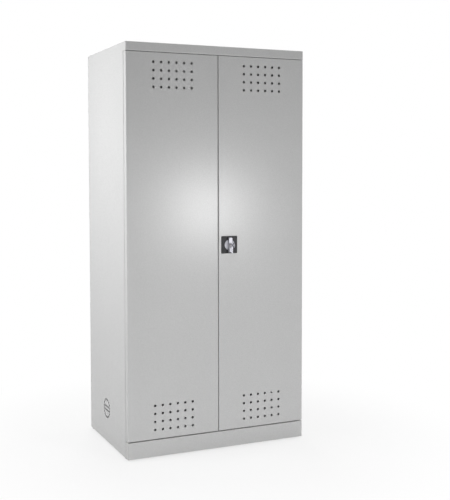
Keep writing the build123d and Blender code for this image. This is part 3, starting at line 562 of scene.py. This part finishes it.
# Spot-weld marks on the flanges of the door stiffeners
for side in ("left", "right"):
    low, high = corners_of(f"{side}_door_stiffener")
    flange_y = low.y + sheet_thickness
    points = []
    rows = []
    for x in (low.x + weld_edge_inset, high.x - weld_edge_inset):
        rows.append((len(points), len(points) + 1))
        points += [(x, flange_y, low.z + weld_end_gap), (x, flange_y, high.z - weld_end_gap)]
    made = grow(
        f"{side}_door_weld_marks", weld_tree, points, rows, "grey_powder_coat",
        Spacing=weld_spacing, Radius=weld_radius, Height=weld_height,
        Crown_Radius=weld_radius * weld_crown_share,
    )
    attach(made, f"{side}_door")


def new_piece(name, mesh, finish):
    """A piece in the scene with one finish."""
    made = bpy.data.objects.new(name, mesh)
    mesh.materials.append(finishes[finish])
    bpy.context.scene.collection.objects.link(made)
    return made


def ring_points(radius, steps):
    """Points evenly round a circle."""
    angles = [2 * math.pi * step / steps for step in range(steps)]
    return [(radius * math.cos(angle), radius * math.sin(angle)) for angle in angles]


def turned(profile, steps, place):
    """A closed solid turned about a vertical axis from (radius, height) points, the ends on the axis."""
    shape = bmesh.new()
    rings = []
    for radius, rise in profile:
        if radius == 0:
            rings.append([shape.verts.new((0, 0, rise))])
        else:
            rings.append([shape.verts.new((x, y, rise)) for x, y in ring_points(radius, steps)])
    for inner, outer in zip(rings, rings[1:]):
        for number in range(steps):
            after = (number + 1) % steps
            corners = [inner[number % len(inner)], inner[after % len(inner)],
                       outer[after % len(outer)], outer[number % len(outer)]]
            shape.faces.new(list(dict.fromkeys(corners)))
    bmesh.ops.recalc_face_normals(shape, faces=shape.faces)
    bmesh.ops.transform(shape, matrix=Matrix.Translation(place), verts=shape.verts)
    mesh = bpy.data.meshes.new("turned")
    shape.to_mesh(mesh)
    shape.free()
    return mesh


# Levelling feet: a moulded pad with a hexagon for the spanner, on a threaded stud
hex_top = foot_pad_height + foot_hex_height
pad_profile = [
    (0, 0), (foot_pad_radius - foot_edge, 0), (foot_pad_radius, foot_edge),
    (foot_pad_radius, foot_pad_height - foot_edge), (foot_pad_radius - foot_edge, foot_pad_height),
    (0, foot_pad_height),
]
hex_profile = [
    (0, foot_pad_height), (foot_hex_radius, foot_pad_height), (foot_hex_radius, hex_top - foot_hex_edge),
    (foot_hex_radius - foot_hex_edge, hex_top), (0, hex_top),
]
for foot in [name for name in frame["nodes"] if name.startswith("foot_") and name != "foot_brackets"]:
    low, high = corners_of(foot)
    middle = Vector(((low.x + high.x) / 2, (low.y + high.y) / 2, low.z))
    pad = new_piece(f"{foot}_pad", turned(pad_profile, foot_pad_sides, middle), "black_plastic")
    hexagon = new_piece(f"{foot}_hexagon", turned(hex_profile, foot_hex_sides, middle), "black_plastic")
    stud = grow(
        f"{foot}_stud", thread_tree, [tuple(middle + Vector((0, 0, hex_top)))], [], "bright_steel",
        Core_Radius=stud_core_radius, Crest=stud_crest, Pitch=stud_pitch,
        Length=high.z - low.z - hex_top - stud_crest,
    )
    for piece in (pad, hexagon, stud):
        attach(piece, foot)
    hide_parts(foot)


# Keys: flat blanks with a rounded edge


def blank(name, outlines, turn, place):
    """A flat plate with rounded edges from closed outlines, turned and set in its place."""
    curve = bpy.data.curves.new(name, "CURVE")
    curve.dimensions = "2D"
    curve.fill_mode = "BOTH"
    curve.extrude = key_thickness / 2 - key_edge
    curve.bevel_depth = key_edge
    curve.bevel_resolution = key_edge_steps
    curve.offset = -key_edge
    for outline in outlines:
        line = curve.splines.new("POLY")
        line.points.add(len(outline) - 1)
        for point, (x, y) in zip(line.points, outline):
            point.co = (x, y, 0, 1)
        line.use_cyclic_u = True
    holder = bpy.data.objects.new(name, curve)
    bpy.context.scene.collection.objects.link(holder)
    mesh = bpy.data.meshes.new_from_object(holder.evaluated_get(bpy.context.evaluated_depsgraph_get()))
    bpy.data.objects.remove(holder)
    shape = bmesh.new()
    shape.from_mesh(mesh)
    bmesh.ops.remove_doubles(shape, verts=shape.verts, dist=merge_distance)
    bmesh.ops.transform(shape, matrix=Matrix.Translation(place) @ turn.to_4x4(), verts=shape.verts)
    bmesh.ops.recalc_face_normals(shape, faces=shape.faces)
    shape.to_mesh(mesh)
    shape.free()
    return mesh


def arc_points(radius, start, end):
    """Points of a bow's edge between two angles."""
    angles = [start + (end - start) * step / key_bow_steps for step in range(key_bow_steps + 1)]
    return [(radius * math.cos(angle), radius * math.sin(angle)) for angle in angles]


upright = Matrix(((1, 0, 0), (0, 0, -1), (0, 1, 0)))  # a plate that faces forward, its length upright
edge_on = Matrix(((0, 0, 1), (1, 0, 0), (0, 1, 0)))  # a plate square to the door, its width along the depth
bow_hole = ring_points(key_bow_hole_radius, key_bow_steps)

# Spare key: the blade's cuts are on one side and end below the bow
low, high = corners_of("spare_key")
bow_middle = Vector(((low.x + high.x) / 2, (low.y + high.y) / 2, high.z - key_bow_radius))
blade_half = key_blade_width / 2
blade_top = -math.sqrt(key_bow_radius**2 - blade_half**2)
blade_end = low.z - bow_middle.z
cut_pitch = (blade_top - blade_end) / (len(key_cut_depths) + 1)
cut_half_flat = key_cut_flat_share * cut_pitch / 2
outline = [
    (-blade_half, blade_end + blade_half / 2), (-blade_half / 2, blade_end), (blade_half / 2, blade_end),
]
for number, depth in enumerate(key_cut_depths):
    cut_middle = blade_end + (number + 1) * cut_pitch
    outline += [
        (blade_half, cut_middle - cut_pitch / 2), (blade_half - depth, cut_middle - cut_half_flat),
        (blade_half - depth, cut_middle + cut_half_flat), (blade_half, cut_middle + cut_pitch / 2),
    ]
bow_start = math.atan2(blade_top, blade_half)
outline += arc_points(key_bow_radius, bow_start, math.pi - bow_start)
spare_blank = blank("spare_key_cut", [outline, bow_hole], upright, bow_middle)
spare = new_piece("spare_key_cut", spare_blank, "satin_nickel")
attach(spare, "spare_key")
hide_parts("spare_key")

# Key in the lock: a bow on a round shank with a collar
low, high = corners_of("key")
bow_middle = Vector(((low.x + high.x) / 2, low.y + key_bow_radius, (low.z + high.z) / 2))
bow_edge = ring_points(key_bow_radius, key_bow_steps)
bow = new_piece("key_bow", blank("key_bow", [bow_edge, bow_hole], edge_on, bow_middle), "satin_nickel")
shank_start = bow_middle.y + (key_bow_radius + key_bow_hole_radius) / 2
shank_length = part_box("lock_cylinder")[0][1] - shank_start
collar_start = shank_length - key_collar_length
shank_profile = [
    (0, 0), (key_shank_radius, 0), (key_shank_radius, collar_start), (key_collar_radius, collar_start),
    (key_collar_radius, shank_length), (0, shank_length),
]
shank = new_piece("key_shank", turned(shank_profile, key_shank_sides, (0, 0, 0)), "satin_nickel")
shank_place = Matrix.Translation((bow_middle.x, shank_start, bow_middle.z))
shank.data.transform(shank_place @ Matrix.Rotation(-math.pi / 2, 4, "X"))
for piece in (bow, shank):
    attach(piece, "key")
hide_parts("key")

# Room: a pale floor that fades to white, and an even white surround


def seen_share(tree):
    """1 for what the viewer or a reflection looks at, 0 for what only lights other surfaces."""
    rays = node(tree, "ShaderNodeLightPath").outputs
    bounced = sums(tree, "MAXIMUM", rays["Is Glossy Ray"], rays["Is Transmission Ray"])
    return sums(tree, "MAXIMUM", rays["Is Camera Ray"], bounced)


floor_mesh = bpy.data.meshes.new("floor")
reach = floor_size / 2
floor_corners = [(-reach, -reach, 0), (reach, -reach, 0), (reach, reach, 0), (-reach, reach, 0)]
floor_mesh.from_pydata(floor_corners, [], [(0, 1, 2, 3)])
floor = bpy.data.objects.new("floor", floor_mesh)
bpy.context.scene.collection.objects.link(floor)
floor_finish, tree, wanted = new_finish("pale_floor", Roughness=floor_roughness)
wanted["Base Color"].default_value = rgba(floor_pale)
shader = next(n for n in tree.nodes if n.type == "BSDF_PRINCIPLED")
place = node(tree, "ShaderNodeTexCoord").outputs["Object"]
distance = node(tree, "ShaderNodeVectorMath", {0: place}, operation="LENGTH").outputs["Value"]
ends = {
    "Value": distance, "From Min": floor_fade_start, "From Max": floor_fade_end, "To Min": floor_glow_share,
}
fade = node(tree, "ShaderNodeMapRange", ends, interpolation_type="SMOOTHSTEP").outputs[0]
seen_fade = sums(tree, "MULTIPLY", fade, seen_share(tree))
glow = node(tree, "ShaderNodeEmission", {"Color": rgba(white), "Strength": white_strength})
blended = node(tree, "ShaderNodeMixShader", {0: seen_fade, 1: shader.outputs[0], 2: glow.outputs[0]})
end = next(n for n in tree.nodes if n.type == "OUTPUT_MATERIAL")
tree.links.new(blended.outputs[0], end.inputs["Surface"])
floor_mesh.materials.append(floor_finish)

world = bpy.data.worlds.new("surround")
bpy.context.scene.world = world
world.use_nodes = True
tree = world.node_tree
tree.nodes.clear()
soft = node(tree, "ShaderNodeBackground", {"Color": rgba(room_grey), "Strength": room_strength})
bright = node(tree, "ShaderNodeBackground", {"Color": rgba(white), "Strength": white_strength})
blended = node(tree, "ShaderNodeMixShader", {0: seen_share(tree), 1: soft.outputs[0], 2: bright.outputs[0]})
node(tree, "ShaderNodeOutputWorld", {"Surface": blended.outputs[0]})

# Lamps: name, place, point they face, width, height, watts, spread in degrees, shown in shiny faces or not
lamps = (
    ("left_bank", (-1.95, 0.0, 1.68), (-0.465, 0.03, 1.55), 0.8, 0.8, 24.6, 180, False),
    ("front_left", (-1.5, -3.6, 1.0), (-0.3, -0.27, 1.0), 1.2, 0.9, 6.7, 180, True),
    ("low_left", (-0.9, -2.2, 0.4), (-0.3, -0.27, 0.4), 0.7, 0.5, 7.1, 180, True),
    ("round_lamp", (1.04, -2.77, 1.07), (-0.09, -0.27, 1.18), 0.42, 0.42, 18.2, 180, True),
    ("overhead", (0.0, -0.2, 4.0), (0.0, -0.2, 0.0), 3.6, 3.6, 18.0, 70, True),
    ("right_bank", (2.8, 0.3, 1.7), (0.465, 0.03, 1.1), 1.4, 1.4, 24.0, 180, True),
    ("rear_bank", (0.6, 3.2, 1.8), (0.0, 0.33, 1.1), 1.6, 1.4, 40.0, 180, True),
)
for name, place, facing, wide, high, watts, spread_angle, mirrored in lamps:
    lamp = bpy.data.lights.new(name, "AREA")
    lamp.shape = "RECTANGLE"
    lamp.size = wide
    lamp.size_y = high
    lamp.energy = watts
    lamp.spread = math.radians(spread_angle)
    holder = bpy.data.objects.new(name, lamp)
    holder.location = place
    holder.rotation_euler = (Vector(facing) - Vector(place)).to_track_quat("-Z", "Y").to_euler()
    holder.visible_camera = False
    holder.visible_glossy = mirrored
    bpy.context.scene.collection.objects.link(holder)

# Camera
level_reach = math.cos(viewer_pitch)
forward = Vector((
    math.sin(viewer_yaw) * level_reach, math.cos(viewer_yaw) * level_reach, -math.sin(viewer_pitch)))
right = Vector((math.cos(viewer_yaw), -math.sin(viewer_yaw), 0))
down = forward.cross(right)
turned_right = math.cos(viewer_roll) * right + math.sin(viewer_roll) * down
turned_down = math.cos(viewer_roll) * down - math.sin(viewer_roll) * right
camera = bpy.data.cameras.new("viewer")
camera.sensor_width = sensor_size
camera.lens = focal_pixels / picture_height * sensor_size
camera.shift_x = (picture_width / 2 - picture_axis_x) / picture_height
camera.shift_y = (picture_axis_y - picture_height / 2) / picture_height
holder = bpy.data.objects.new("viewer", camera)
axes = Matrix((turned_right, -turned_down, -forward)).transposed()
holder.matrix_world = Matrix.Translation(viewer_place) @ axes.to_4x4()
bpy.context.scene.collection.objects.link(holder)
bpy.context.scene.camera = holder
bpy.context.scene.view_settings.view_transform = "Standard"
